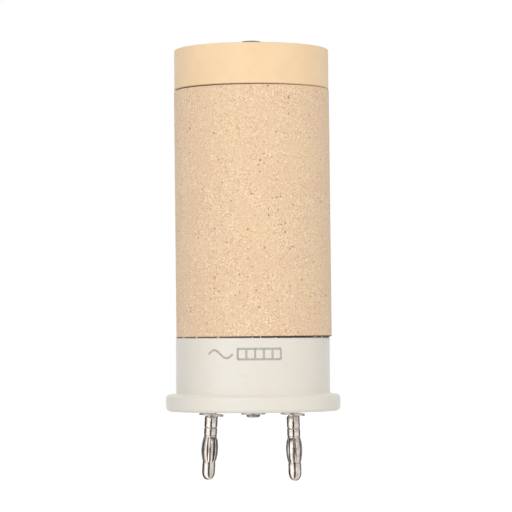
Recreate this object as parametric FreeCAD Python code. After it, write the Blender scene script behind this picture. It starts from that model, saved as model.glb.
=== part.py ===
"""Plug-in ceramic heating element for a hot-air tool, in millimetres.

Air enters through four ports in a white ceramic base, passes between the turns of two resistance
windings strung through a stack of honeycomb cores, and leaves through the honeycomb of the outlet cap.
A steel tie rod clamps base, cores and cap together, a grainy outer sleeve wraps the cores, and two
leaning spring plug pins carry the current.

The origin is on the axis at the upper face of the flange, +Z points towards the air outlet.
"""

import FreeCAD
import Part
import math
import os

# Sleeve: a rough tube that hangs loose round the cores, a hair's breadth off collar and cap. It leans
# within its play, so that its foot lies to the right
SLEEVE_DIAMETER = 44.0
SLEEVE_WALL = 2.0
SLEEVE_LENGTH = 70.0
SLEEVE_FOOT_GAP = 0.13
SLEEVE_CAP_GAP = 0.13
REBATE_HEIGHT = 0.2
REBATE_DEPTH = 0.5
SLEEVE_FIT = 0.4
SLEEVE_LEAN = 0.3
EDGE_CHAMFER = 0.3

# Base: a round flange, a collar just inside the sleeve's outline and a spigot that centres the cores
FLANGE_OVERHANG = 2.9
FLANGE_THICKNESS = 4.8
FLANGE_EDGE_RADIUS = 1.2
COLLAR_STEP = 0.2
COLLAR_HEIGHT = 15.9
COLLAR_FOOT_RADIUS = 0.5
SPIGOT_HEIGHT = 2.0
SPIGOT_WALL = 2.0
FLOOR_THICKNESS = 4.0
POST_FOOT_DIAMETER = 9.6
POST_TOP_DIAMETER = 6.0
ARM_WIDTH = 8.4
RIB_WIDTH = 3.0
PORT_WALL_MARGIN = 1.4
PORT_CORNER_RADIUS = 1.0
PAD_HEIGHT = 1.0
BOSS_DIAMETER = 7.6
BOSS_HEIGHT = 0.4

# Outlet cap and cores: rings of six-sided channels fill the core up to a solid rim
CAP_STEP = 0.1
CAP_HEIGHT = 11.5
CAP_EDGE_RADIUS = 0.5
CORE_COUNT = 4
CORE_RIM = 3.7
CHANNEL_RINGS = 3
CHANNEL_WEB = 1.0

# Tie rod and its fastenings, all of the 3 mm thread size
THREAD_DIAMETER = 3.0
THREAD_PLAY = 0.05
ROD_HOLE_PLAY = 0.25
ROD_END_ABOVE_CAP = 2.6
ROD_HEAD_DIAMETER = 4.0
ROD_HEAD_HEIGHT = 0.8
WASHER_DIAMETER = 7.0
WASHER_HOLE_PLAY = 0.2
WASHER_THICKNESS = 0.6
WASHER_DISH = 0.08
NUT_ACROSS_FLATS = 5.5
NUT_HEIGHT = 2.4

# Plug pins, measured down from the underside of the flange
PIN_PAST_MIDDLE = 0.3
PIN_HOLE_PLAY = 0.5
PIN_FLOAT = -0.28
PIN_LENGTH = 19.5
STEM_DIAMETER = 3.85
GROOVE_DEPTH = 0.15
GROOVE_HALF_WIDTH = 0.2
GROOVE_BELOW_FLANGE = 4.6
CAGE_START = 6.8
CAGE_LENGTH = 7.8
CAGE_END_PLAY = 0.05
NECK_DIAMETER = 2.94
NECK_PLAY = 0.07
NECK_SPREAD = 0.11
CAGE_SHEET = 0.2
CAGE_BAND = 0.4
CAGE_BULGE_DIAMETER = 4.85
LEAF_COUNT = 8
LEAF_WIDTH = 1.12
CAGE_SEAM = 0.3
TIP_DIAMETER = 3.85
TIP_ROUNDING = 2.5
TIP_FLAT_DIAMETER = 0.6
SHOULDER_CHAMFER = 0.15
SHOULDER_PLAY = 0.02

# What fastens a pin inside the base: a ring terminal, a split lock washer and a nut
TERMINAL_RING_DIAMETER = 6.2
TERMINAL_SHEET = 0.6
TERMINAL_REACH = 5.2
TERMINAL_TONGUE = 2.4
BARREL_OUTER_DIAMETER = 2.9
BARREL_BORE_DIAMETER = 1.9
BARREL_HEIGHT = 4.5
LOCK_WASHER_DIAMETER = 6.0
LOCK_WASHER_THICKNESS = 0.8
LOCK_WASHER_SPLIT = 0.6
SHANK_PAST_NUT = 1.0

# Resistance windings
COIL_CLEARANCE = 0.4
WIRE_THICKNESS = 0.7
COIL_BELOW_CAP_TOP = 3.0
COIL_ABOVE_CORE_FOOT = 0.6
BRIDGE_BELOW_CAP_TOP = 1.2
BRIDGE_BELOW_CORES = 1.0
BRIDGE_BITE = 0.2
BRIDGE_THICKNESS = 0.6
NOTCH_WIDTH = 1.6
NOTCH_DEPTH = 2.3
TAIL_DIAMETER = 0.8
TAIL_BEND_RADIUS = 1.5
TAIL_DROP = 4.0
TAIL_BARREL_CLEARANCE = 4.0
TAIL_INSET = 1.0

# Levels that follow from the sizes above
UNDERSIDE_Z = -FLANGE_THICKNESS
BOSS_BOTTOM_Z = UNDERSIDE_Z - BOSS_HEIGHT
FLOOR_TOP_Z = UNDERSIDE_Z + FLOOR_THICKNESS
PAD_TOP_Z = FLOOR_TOP_Z + PAD_HEIGHT
CORES_FOOT_Z = COLLAR_HEIGHT + SPIGOT_HEIGHT
SLEEVE_FOOT_Z = COLLAR_HEIGHT + SLEEVE_FOOT_GAP
SLEEVE_TOP_Z = SLEEVE_FOOT_Z + SLEEVE_LENGTH
CAP_FOOT_Z = SLEEVE_TOP_Z + SLEEVE_CAP_GAP
CORES_TOP_Z = CAP_FOOT_Z - SPIGOT_HEIGHT
CAP_TOP_Z = CAP_FOOT_Z + CAP_HEIGHT
CORE_LENGTH = (CORES_TOP_Z - CORES_FOOT_Z) / CORE_COUNT

# Radii that follow from the sizes above
COLLAR_RADIUS = SLEEVE_DIAMETER / 2 - COLLAR_STEP
FLANGE_RADIUS = COLLAR_RADIUS + FLANGE_OVERHANG
CAP_RADIUS = SLEEVE_DIAMETER / 2 - CAP_STEP
SLEEVE_BORE_RADIUS = SLEEVE_DIAMETER / 2 - SLEEVE_WALL
CORE_RADIUS = SLEEVE_BORE_RADIUS - SLEEVE_FIT
CHAMBER_RADIUS = CORE_RADIUS - SPIGOT_WALL
PORT_INNER_RADIUS = POST_FOOT_DIAMETER / 2 + PORT_WALL_MARGIN
PORT_OUTER_RADIUS = CHAMBER_RADIUS - PORT_WALL_MARGIN
ROD_HOLE_RADIUS = THREAD_DIAMETER / 2 + ROD_HOLE_PLAY
WASHER_HOLE_RADIUS = THREAD_DIAMETER / 2 + WASHER_HOLE_PLAY
PIN_HOLE_RADIUS = THREAD_DIAMETER / 2 + PIN_HOLE_PLAY
NECK_FOOT_RADIUS = NECK_DIAMETER / 2
NECK_TOP_RADIUS = NECK_FOOT_RADIUS + NECK_SPREAD
CHANNEL_PITCH = (CORE_RADIUS - CORE_RIM) / CHANNEL_RINGS
CHANNEL_ACROSS_FLATS = CHANNEL_PITCH - CHANNEL_WEB
COIL_RADIUS = CHANNEL_ACROSS_FLATS / 2 - COIL_CLEARANCE
COIL_WALL_RADIUS = COIL_RADIUS - WIRE_THICKNESS / 2

# The pins' holes lie a little outside the middle between the post's foot and the chamber's wall. Each
# pin hangs in its hole in its own way: how far it leans outwards, how much lower it sits, and the same
# for its washer
PIN_HOLE_X = (POST_FOOT_DIAMETER / 2 + CHAMBER_RADIUS) / 2 + PIN_PAST_MIDDLE
LEFT_PIN = {
    "side": "left",
    "x": -PIN_HOLE_X,
    "lean": 3.3,
    "drop": 0.0,
    "washer_tilt": 5.2,
    "washer_drop": 0.0,
    "leaf_turn": 12.0,
}
RIGHT_PIN = {
    "side": "right",
    "x": PIN_HOLE_X,
    "lean": -1.6,
    "drop": 0.4,
    "washer_tilt": 4.0,
    "washer_drop": 0.0,
    "leaf_turn": 27.0,
}
PINS = (LEFT_PIN, RIGHT_PIN)

UP = FreeCAD.Vector(0, 0, 1)
ACROSS = FreeCAD.Vector(0, 1, 0)
ORIGIN = FreeCAD.Vector(0, 0, 0)


def cylinder(radius, bottom, top, x=0.0, y=0.0):
    """Upright round bar between two heights."""
    return Part.makeCylinder(radius, top - bottom, FreeCAD.Vector(x, y, bottom))


def block(x_size, y_size, bottom, top, x=0.0, y=0.0):
    """Upright box centred on (x, y)."""
    corner = FreeCAD.Vector(x - x_size / 2, y - y_size / 2, bottom)
    return Part.makeBox(x_size, y_size, top - bottom, corner)


def hexagon(across_flats, bottom, top, x=0.0, y=0.0):
    """Upright hexagonal bar with a corner towards Y."""
    corner_radius = across_flats / math.sqrt(3)
    corners = []
    for step in range(7):
        angle = math.radians(30 + 60 * step)
        offset = FreeCAD.Vector(math.cos(angle), math.sin(angle), 0) * corner_radius
        corners.append(FreeCAD.Vector(x, y, bottom) + offset)
    return Part.Face(Part.makePolygon(corners)).extrude(UP * (top - bottom))


def turned(outline):
    """Solid of revolution about Z. The outline is (radius, height) corners; a third entry marks the
    point as the middle of an arc between its neighbours."""
    points = [FreeCAD.Vector(entry[0], 0, entry[1]) for entry in outline]
    is_arc_middle = [len(entry) > 2 for entry in outline]
    edges = []
    index = 0
    while index < len(points):
        following = (index + 1) % len(points)
        if is_arc_middle[following]:
            arc_end = (index + 2) % len(points)
            edges.append(Part.Arc(points[index], points[following], points[arc_end]).toShape())
            index += 2
        else:
            edges.append(Part.LineSegment(points[index], points[following]).toShape())
            index += 1
    return Part.Face(Part.Wire(edges)).revolve(ORIGIN, UP, 360)


def rim_edges(solid, radius, height):
    """Full circular edges of one radius at one height, for a fillet or chamfer."""
    found = []
    for edge in solid.Edges:
        curve = edge.Curve
        if isinstance(curve, Part.Circle) and abs(curve.Radius - radius) < 1e-4:
            if abs(edge.CenterOfMass.z - height) < 1e-4:
                found.append(edge)
    return found


def upright_edges(solid, bottom, top):
    """Straight vertical edges that run from one height to the other."""
    found = []
    for edge in solid.Edges:
        low, high = edge.BoundBox.ZMin, edge.BoundBox.ZMax
        is_upright = edge.BoundBox.XLength < 1e-6 and edge.BoundBox.YLength < 1e-6
        if is_upright and abs(low - bottom) < 1e-4 and abs(high - top) < 1e-4:
            found.append(edge)
    return found


def channel_centres():
    """Honeycomb cell centres in rings about the axis, the centre cell left out for the tie rod."""
    centres = []
    for ring in range(1, CHANNEL_RINGS + 1):
        for side in range(6):
            start = math.radians(60 * side)
            along = math.radians(60 * side + 120)
            for step in range(ring):
                x = CHANNEL_PITCH * (ring * math.cos(start) + step * math.cos(along))
                y = CHANNEL_PITCH * (ring * math.sin(start) + step * math.sin(along))
                centres.append((x, y))
    return centres


def winding_route(facing):
    """Cells that one winding visits, one after another: half of each ring in turn, from the outer ring
    inwards, so that every step goes to a neighbouring cell. Facing is 1 for the back, -1 for the front."""
    route = []
    for ring in range(CHANNEL_RINGS, 0, -1):
        half = []
        for side in range(3):
            start = math.radians(180 - 60 * side)
            along = math.radians(60 - 60 * side)
            for step in range(ring):
                x = CHANNEL_PITCH * (ring * math.cos(start) + step * math.cos(along))
                y = CHANNEL_PITCH * (ring * math.sin(start) + step * math.sin(along))
                half.append((facing * x, facing * y))
        if (CHANNEL_RINGS - ring) % 2:
            half.reverse()
        route.extend(half)
    return route


def base():
    """Flanged ceramic cup with a central post, two pads for the pins, four air ports in its floor, and
    three low round bosses under it for the washers."""
    body = turned([
        (ROD_HOLE_RADIUS, UNDERSIDE_Z),
        (FLANGE_RADIUS, UNDERSIDE_Z),
        (FLANGE_RADIUS, 0),
        (COLLAR_RADIUS, 0),
        (COLLAR_RADIUS, COLLAR_HEIGHT),
        (CORE_RADIUS, COLLAR_HEIGHT),
        (CORE_RADIUS, CORES_FOOT_Z),
        (CHAMBER_RADIUS, CORES_FOOT_Z),
        (CHAMBER_RADIUS, FLOOR_TOP_Z),
        (POST_FOOT_DIAMETER / 2, FLOOR_TOP_Z),
        (POST_TOP_DIAMETER / 2, CORES_FOOT_Z),
        (ROD_HOLE_RADIUS, CORES_FOOT_Z),
    ])
    flange_rims = rim_edges(body, FLANGE_RADIUS, UNDERSIDE_Z) + rim_edges(body, FLANGE_RADIUS, 0)
    body = body.makeFillet(FLANGE_EDGE_RADIUS, flange_rims)
    body = body.makeFillet(COLLAR_FOOT_RADIUS, rim_edges(body, COLLAR_RADIUS, 0))
    body = body.makeChamfer(EDGE_CHAMFER, rim_edges(body, COLLAR_RADIUS, COLLAR_HEIGHT))
    body = body.makeChamfer(EDGE_CHAMFER, rim_edges(body, CORE_RADIUS, CORES_FOOT_Z))
    for pin in PINS:
        body = body.fuse(cylinder(ARM_WIDTH / 2, UNDERSIDE_Z + 1, PAD_TOP_Z, pin["x"]))
    for x in (LEFT_PIN["x"], 0, RIGHT_PIN["x"]):
        body = body.fuse(cylinder(BOSS_DIAMETER / 2, BOSS_BOTTOM_Z, UNDERSIDE_Z + 1, x))
    body = body.cut(cylinder(ROD_HOLE_RADIUS, BOSS_BOTTOM_Z, UNDERSIDE_Z + 1))
    for pin in PINS:
        body = body.cut(cylinder(PIN_HOLE_RADIUS, BOSS_BOTTOM_Z, PAD_TOP_Z, pin["x"]))
    return body.cut(air_ports()).removeSplitter()


def air_ports():
    """The four openings of the floor, between two arms that carry the pins and two thinner ribs."""
    disc = cylinder(PORT_OUTER_RADIUS, UNDERSIDE_Z, FLOOR_TOP_Z)
    ring = disc.cut(cylinder(PORT_INNER_RADIUS, UNDERSIDE_Z, FLOOR_TOP_Z))
    span = 2 * PORT_OUTER_RADIUS
    arms = block(span, ARM_WIDTH, UNDERSIDE_Z, FLOOR_TOP_Z)
    ribs = block(RIB_WIDTH, span, UNDERSIDE_Z, FLOOR_TOP_Z)
    ports = ring.cut(arms.fuse(ribs))
    rounded = []
    for port in ports.Solids:
        corners = upright_edges(port, UNDERSIDE_Z, FLOOR_TOP_Z)
        rounded.append(port.makeFillet(PORT_CORNER_RADIUS, corners))
    return Part.makeCompound(rounded)


def outer_sleeve():
    """Tube with chamfered edges and a rebate round its foot, leaned about the middle of its top."""
    outer = SLEEVE_DIAMETER / 2
    rebate_top = SLEEVE_FOOT_Z + REBATE_HEIGHT
    tube = turned([
        (SLEEVE_BORE_RADIUS + EDGE_CHAMFER, SLEEVE_FOOT_Z),
        (outer - REBATE_DEPTH, SLEEVE_FOOT_Z),
        (outer - REBATE_DEPTH, rebate_top),
        (outer, rebate_top),
        (outer, SLEEVE_TOP_Z - EDGE_CHAMFER),
        (outer - EDGE_CHAMFER, SLEEVE_TOP_Z),
        (SLEEVE_BORE_RADIUS + EDGE_CHAMFER, SLEEVE_TOP_Z),
        (SLEEVE_BORE_RADIUS, SLEEVE_TOP_Z - EDGE_CHAMFER),
        (SLEEVE_BORE_RADIUS, SLEEVE_FOOT_Z + EDGE_CHAMFER),
    ])
    tube.rotate(UP * SLEEVE_TOP_Z, ACROSS, -SLEEVE_LEAN)
    return tube


def honeycomb_holes(bottom, top):
    """All channels and the tie rod's hole, as one cutting tool."""
    holes = [cylinder(ROD_HOLE_RADIUS, bottom, top)]
    for x, y in channel_centres():
        holes.append(hexagon(CHANNEL_ACROSS_FLATS, bottom, top, x, y))
    return Part.makeCompound(holes)


def core(number):
    """One honeycomb segment; the first stands on the base's spigot."""
    bottom = CORES_FOOT_Z + number * CORE_LENGTH
    top = bottom + CORE_LENGTH
    return cylinder(CORE_RADIUS, bottom, top).cut(honeycomb_holes(bottom, top))


def outlet_cap():
    """Honeycomb end piece with a spigot below and notches in its top webs for the wire's turns."""
    spigot = cylinder(CORE_RADIUS, CORES_TOP_Z, CAP_FOOT_Z)
    body = cylinder(CAP_RADIUS, CAP_FOOT_Z, CAP_TOP_Z).fuse(spigot).removeSplitter()
    body = body.makeFillet(CAP_EDGE_RADIUS, rim_edges(body, CAP_RADIUS, CAP_TOP_Z))
    body = body.makeChamfer(EDGE_CHAMFER, rim_edges(body, CAP_RADIUS, CAP_FOOT_Z))
    body = body.cut(honeycomb_holes(CORES_TOP_Z, CAP_TOP_Z))
    notch = block(CHANNEL_PITCH, NOTCH_WIDTH, CAP_TOP_Z - NOTCH_DEPTH, CAP_TOP_Z)
    notches = []
    for facing in (1, -1):
        for start, end in bridge_pairs(winding_route(facing), first=0):
            notches.append(spanning(notch, start, end))
    return body.cut(Part.makeCompound(notches))


def bridge_pairs(route, first):
    """Neighbouring cells joined at one end of the stack: the outlet end if first is 0, the base end if 1."""
    return [(route[i], route[i + 1]) for i in range(first, len(route) - 1, 2)]


def spanning(shape, start, end):
    """Turns and moves a shape that lies along X at the axis so that it joins two cells."""
    direction = math.degrees(math.atan2(end[1] - start[1], end[0] - start[0]))
    moved = shape.copy()
    moved.rotate(ORIGIN, UP, direction)
    moved.translate(FreeCAD.Vector((start[0] + end[0]) / 2, (start[1] + end[1]) / 2, 0))
    return moved


def wire_bridge(coil_end, bridge_far):
    """Staple of wire between the facing sides of two neighbouring coils: two legs and a bar over the web."""
    half = CHANNEL_PITCH / 2 - COIL_WALL_RADIUS
    thick = BRIDGE_THICKNESS / 2
    towards = math.copysign(1, bridge_far - coil_end)
    foot = coil_end - towards * BRIDGE_BITE
    near = bridge_far - towards * BRIDGE_THICKNESS
    corners = [
        (-half - thick, foot), (-half - thick, bridge_far), (half + thick, bridge_far), (half + thick, foot),
        (half - thick, foot), (half - thick, near), (-half + thick, near), (-half + thick, foot),
    ]
    points = [FreeCAD.Vector(x, -thick, z) for x, z in corners + corners[:1]]
    return Part.Face(Part.makePolygon(points)).extrude(ACROSS * BRIDGE_THICKNESS)


def bent_wire(points):
    """Round wire along straight runs joined by tangent arcs."""
    edges = []
    start = points[0]
    for index in range(1, len(points) - 1):
        corner = points[index]
        before = (corner - points[index - 1]).normalize()
        after = (points[index + 1] - corner).normalize()
        turn = before.getAngle(after)
        setback = TAIL_BEND_RADIUS * math.tan(turn / 2)
        arc_start = corner - before * setback
        arc_end = corner + after * setback
        inward = (after - before).normalize()
        middle = corner + inward * (TAIL_BEND_RADIUS / math.cos(turn / 2) - TAIL_BEND_RADIUS)
        edges.append(Part.LineSegment(start, arc_start).toShape())
        edges.append(Part.Arc(arc_start, middle, arc_end).toShape())
        start = arc_end
    edges.append(Part.LineSegment(start, points[-1]).toShape())
    path = Part.Wire(edges)
    first_run = points[1] - points[0]
    section = Part.Wire(Part.makeCircle(TAIL_DIAMETER / 2, points[0], first_run))
    return path.makePipeShell([section], True, False)


def barrel_side(pin):
    """Offset of a terminal's barrel from its pin along Y: the two terminals point opposite ways."""
    return math.copysign(TERMINAL_REACH, pin["x"])


def barrel_mouth(pin):
    """Middle of the barrel's open end, leaned as the pin leans."""
    height = inner_seat(pin) + BARREL_HEIGHT
    lean = math.radians(pin["lean"])
    x = pin["x"] + PIN_FLOAT + height * math.sin(lean)
    return FreeCAD.Vector(x, barrel_side(pin), UNDERSIDE_Z + height * math.cos(lean))


def coil(cell):
    """The winding in one channel, as the tube that its turns fill."""
    foot = CORES_FOOT_Z + COIL_ABOVE_CORE_FOOT
    top = CAP_TOP_Z - COIL_BELOW_CAP_TOP
    outside = cylinder(COIL_RADIUS, foot, top, cell[0], cell[1])
    return outside.cut(cylinder(COIL_RADIUS - WIRE_THICKNESS, foot, top, cell[0], cell[1]))


def winding_tail(cell, pin, offset):
    """Cold end of a winding: down from its coil, across and down into the terminal's barrel."""
    mouth = barrel_mouth(pin) + FreeCAD.Vector(offset, 0, 0)
    foot = FreeCAD.Vector(cell[0], cell[1], CORES_FOOT_Z + COIL_ABOVE_CORE_FOOT + BRIDGE_BITE)
    towards_mouth = FreeCAD.Vector(mouth.x - foot.x, mouth.y - foot.y, 0).normalize()
    start = foot + towards_mouth * COIL_WALL_RADIUS
    return bent_wire([
        start,
        FreeCAD.Vector(start.x, start.y, CORES_FOOT_Z - TAIL_DROP),
        mouth + UP * TAIL_BARREL_CLEARANCE,
        mouth - UP * TAIL_INSET,
    ])


def winding(facing):
    """One resistance winding: a coil in each of its channels, bridged at alternate ends, with two tails."""
    route = winding_route(facing)
    coil_foot = CORES_FOOT_Z + COIL_ABOVE_CORE_FOOT
    coil_top = CAP_TOP_Z - COIL_BELOW_CAP_TOP
    pieces = [coil(cell) for cell in route]
    for start, end in bridge_pairs(route, first=0):
        pieces.append(spanning(wire_bridge(coil_top, CAP_TOP_Z - BRIDGE_BELOW_CAP_TOP), start, end))
    for start, end in bridge_pairs(route, first=1):
        pieces.append(spanning(wire_bridge(coil_foot, CORES_FOOT_Z - BRIDGE_BELOW_CORES), start, end))
    near_pin, far_pin = PINS if facing > 0 else PINS[::-1]
    spread = TAIL_DIAMETER / 2 + THREAD_PLAY
    pieces.append(winding_tail(route[0], near_pin, math.copysign(spread, near_pin["x"])))
    pieces.append(winding_tail(route[-1], far_pin, -math.copysign(spread, far_pin["x"])))
    return pieces[0].multiFuse(pieces[1:]).removeSplitter()


def dished_washer(rim_top):
    """Thin washer pressed into a shallow cone: its rim lies against the ceramic, its hole hangs lower."""
    rim = WASHER_DIAMETER / 2
    return turned([
        (rim, rim_top),
        (WASHER_HOLE_RADIUS, rim_top - WASHER_DISH),
        (WASHER_HOLE_RADIUS, rim_top - WASHER_DISH - WASHER_THICKNESS),
        (rim, rim_top - WASHER_THICKNESS),
    ])


def hexagon_nut(bottom):
    """Nut with its six top corners turned off."""
    corner_radius = NUT_ACROSS_FLATS / math.sqrt(3)
    flat_radius = NUT_ACROSS_FLATS / 2
    top = bottom + NUT_HEIGHT
    envelope = turned([
        (THREAD_DIAMETER / 2 + THREAD_PLAY, bottom),
        (corner_radius, bottom),
        (corner_radius, top - (corner_radius - flat_radius)),
        (flat_radius, top),
        (THREAD_DIAMETER / 2 + THREAD_PLAY, top),
    ])
    return hexagon(NUT_ACROSS_FLATS, bottom, top).common(envelope)


def tie_rod():
    """Long rod with a small riveted head below and a threaded end above."""
    radius = THREAD_DIAMETER / 2
    seat = BOSS_BOTTOM_Z - WASHER_DISH - WASHER_THICKNESS
    top = CAP_TOP_Z + ROD_END_ABOVE_CAP
    return turned([
        (0, seat - ROD_HEAD_HEIGHT),
        (ROD_HEAD_DIAMETER / 2, seat - ROD_HEAD_HEIGHT),
        (ROD_HEAD_DIAMETER / 2, seat),
        (radius, seat),
        (radius, top - EDGE_CHAMFER),
        (radius - EDGE_CHAMFER, top),
        (0, top),
    ])


def leaned(shape, pin, angle):
    """Places a piece built about its own axis, flange underside at zero, at its pin and leans it."""
    placed = shape.copy()
    placed.rotate(ORIGIN, ACROSS, angle)
    placed.translate(FreeCAD.Vector(pin["x"] + PIN_FLOAT, 0, UNDERSIDE_Z))
    return placed


def below_flange(pin, depth):
    """Height of a pin's feature that lies a depth under the flange, with the pin's own drop added."""
    return -(depth + pin["drop"])


def washer_rim_top(pin):
    """Height at which the higher edge of a tilted washer hangs its own drop under its boss."""
    tilt = math.radians(abs(pin["washer_tilt"]))
    return -(BOSS_HEIGHT + WASHER_DIAMETER / 2 * math.sin(tilt) + pin["washer_drop"])


def shoulder_level(pin):
    """Top of the stem, against the underside of its washer."""
    between = math.radians(abs(pin["lean"] - pin["washer_tilt"]))
    rocking = STEM_DIAMETER / 2 * math.sin(between)
    return washer_rim_top(pin) - WASHER_DISH - WASHER_THICKNESS - rocking - SHOULDER_PLAY


def inner_seat(pin):
    """Height at which a leaning ring terminal clears the pad inside the base."""
    pad = FLOOR_THICKNESS + PAD_HEIGHT
    reach = TERMINAL_REACH + BARREL_OUTER_DIAMETER / 2
    return pad + reach * math.sin(math.radians(abs(pin["lean"])))


def plug_pin(pin):
    """Threaded shank, stem with a turned groove, tapered neck for the spring cage and a rounded tip."""
    shank = THREAD_DIAMETER / 2
    stem = STEM_DIAMETER / 2
    tip = TIP_DIAMETER / 2
    shoulder = shoulder_level(pin)
    shank_top = inner_seat(pin) + TERMINAL_SHEET + LOCK_WASHER_THICKNESS + NUT_HEIGHT + SHANK_PAST_NUT
    groove = below_flange(pin, GROOVE_BELOW_FLANGE)
    cage_start = below_flange(pin, CAGE_START)
    cage_end = cage_start - CAGE_LENGTH
    end = below_flange(pin, PIN_LENGTH)
    tip_flat = TIP_FLAT_DIAMETER / 2
    round_start = end + TIP_ROUNDING
    arc_radius = ((tip - tip_flat) ** 2 + TIP_ROUNDING ** 2) / (2 * (tip - tip_flat))
    half_arc = math.asin(TIP_ROUNDING / arc_radius) / 2
    arc_middle_radius = tip - arc_radius * (1 - math.cos(half_arc))
    arc_middle_height = round_start - arc_radius * math.sin(half_arc)
    solid = turned([
        (0, shank_top),
        (shank - EDGE_CHAMFER, shank_top),
        (shank, shank_top - EDGE_CHAMFER),
        (shank, shoulder),
        (stem - SHOULDER_CHAMFER, shoulder),
        (stem, shoulder - SHOULDER_CHAMFER),
        (stem, groove + GROOVE_HALF_WIDTH),
        (stem - GROOVE_DEPTH, groove),
        (stem, groove - GROOVE_HALF_WIDTH),
        (stem, cage_start + SHOULDER_CHAMFER),
        (stem - SHOULDER_CHAMFER, cage_start),
        (NECK_TOP_RADIUS, cage_start),
        (NECK_FOOT_RADIUS, cage_end),
        (tip - SHOULDER_CHAMFER, cage_end),
        (tip, cage_end - SHOULDER_CHAMFER),
        (tip, round_start),
        (arc_middle_radius, arc_middle_height, "arc"),
        (tip_flat, end),
        (0, end),
    ])
    return leaned(solid, pin, pin["lean"])


def contact_spring(pin):
    """Rolled sheet cage: two bands joined by bulging leaves, open along one seam."""
    top = below_flange(pin, CAGE_START + CAGE_END_PLAY)
    bottom = below_flange(pin, CAGE_START + CAGE_LENGTH - CAGE_END_PLAY)
    middle = (top + bottom) / 2
    upper_bore = NECK_TOP_RADIUS + NECK_PLAY
    lower_bore = NECK_FOOT_RADIUS + NECK_PLAY
    bulge = CAGE_BULGE_DIAMETER / 2
    barrel = turned([
        (upper_bore, top),
        (upper_bore + CAGE_SHEET, top),
        (upper_bore + CAGE_SHEET, top - CAGE_BAND),
        (bulge, middle, "arc"),
        (lower_bore + CAGE_SHEET, bottom + CAGE_BAND),
        (lower_bore + CAGE_SHEET, bottom),
        (lower_bore, bottom),
        (lower_bore, bottom + CAGE_BAND),
        (bulge - CAGE_SHEET, middle, "arc"),
        (upper_bore, top - CAGE_BAND),
    ])
    strips = []
    for number in range(LEAF_COUNT):
        strip = block(bulge, LEAF_WIDTH, bottom, top, bulge / 2 + lower_bore / 2)
        strip.rotate(ORIGIN, UP, number * 360 / LEAF_COUNT + pin["leaf_turn"])
        strips.append(strip)
    ends = [cylinder(bulge, top - CAGE_BAND, top), cylinder(bulge, bottom, bottom + CAGE_BAND)]
    kept = strips[0].multiFuse(strips[1:] + ends)
    seam = block(bulge, CAGE_SEAM, bottom, top, bulge / 2 + lower_bore / 2)
    seam.rotate(ORIGIN, UP, 180 / LEAF_COUNT + pin["leaf_turn"])
    return leaned(barrel.common(kept).cut(seam), pin, pin["lean"])


def pin_washer(pin):
    """Dished washer between its boss and the stem's shoulder."""
    return leaned(dished_washer(washer_rim_top(pin)), pin, pin["washer_tilt"])


def terminal(pin):
    """Ring terminal with a tongue and an upright crimp barrel for the two winding tails."""
    bottom = inner_seat(pin)
    top = bottom + TERMINAL_SHEET
    barrel_y = barrel_side(pin)
    ring = cylinder(TERMINAL_RING_DIAMETER / 2, bottom, top)
    tongue = block(TERMINAL_TONGUE, TERMINAL_REACH, bottom, top, 0, barrel_y / 2)
    barrel = cylinder(BARREL_OUTER_DIAMETER / 2, bottom, bottom + BARREL_HEIGHT, 0, barrel_y)
    whole = ring.fuse(tongue).fuse(barrel)
    whole = whole.cut(cylinder(WASHER_HOLE_RADIUS, bottom, top))
    whole = whole.cut(cylinder(BARREL_BORE_DIAMETER / 2, top, bottom + BARREL_HEIGHT, 0, barrel_y))
    return leaned(whole.removeSplitter(), pin, pin["lean"])


def lock_washer(pin):
    """Split spring washer under the nut."""
    bottom = inner_seat(pin) + TERMINAL_SHEET
    top = bottom + LOCK_WASHER_THICKNESS
    outer = LOCK_WASHER_DIAMETER / 2
    ring = cylinder(outer, bottom, top).cut(cylinder(WASHER_HOLE_RADIUS, bottom, top))
    split = block(outer, LOCK_WASHER_SPLIT, bottom, top, outer)
    return leaned(ring.cut(split), pin, pin["lean"])


def pin_nut(pin):
    """Nut on the pin's shank, inside the base."""
    bottom = inner_seat(pin) + TERMINAL_SHEET + LOCK_WASHER_THICKNESS
    return leaned(hexagon_nut(bottom), pin, pin["lean"])


def tie_rod_washer():
    """Dished washer under the tie rod's head."""
    washer = dished_washer(0)
    washer.translate(FreeCAD.Vector(0, 0, BOSS_BOTTOM_Z))
    return washer


def pieces():
    """Every separate piece of the element, by its node's name."""
    named = {
        "base": base(),
        "outer_sleeve": outer_sleeve(),
        "outlet_cap": outlet_cap(),
        "winding_front": winding(-1),
        "winding_back": winding(1),
        "tie_rod": tie_rod(),
        "tie_rod_washer": tie_rod_washer(),
        "tie_rod_nut": hexagon_nut(CAP_TOP_Z),
    }
    for number in range(CORE_COUNT):
        named[f"core_segment_{number + 1}"] = core(number)
    for pin in PINS:
        side = pin["side"]
        named[f"plug_pin_{side}"] = plug_pin(pin)
        named[f"contact_spring_{side}"] = contact_spring(pin)
        named[f"pin_washer_{side}"] = pin_washer(pin)
        named[f"terminal_{side}"] = terminal(pin)
        named[f"lock_washer_{side}"] = lock_washer(pin)
        named[f"pin_nut_{side}"] = pin_nut(pin)
    return named


def main():
    os.makedirs("parts", exist_ok=True)
    for name, shape in pieces().items():
        shape.exportStep(f"parts/{name}.step")
        print(f"{name}: solids {len(shape.Solids)}, volume {shape.Volume:.1f} mm3, valid {shape.isValid()}")


main()
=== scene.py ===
# %% [markdown]
# # Dressing a ceramic heating element
# A hot-air tool holds a cartridge that turns electricity into hot air: a white ceramic base with two plug
# pins, a stack of honeycomb cores with wire coils in their channels, a grainy sleeve round the cores and a
# smoother cap where the air leaves. The solids of all its pieces come from CAD. In this notebook they get
# the finishes of the real one, and the pieces that CAD keeps plain are made again: the coiled wire, the
# spring cages, the pins with their threads and the sleeve with its rough skin.

# %% Load the frame
import math
import random

import bmesh
import bpy
from mathutils import Matrix, Vector, noise


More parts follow.
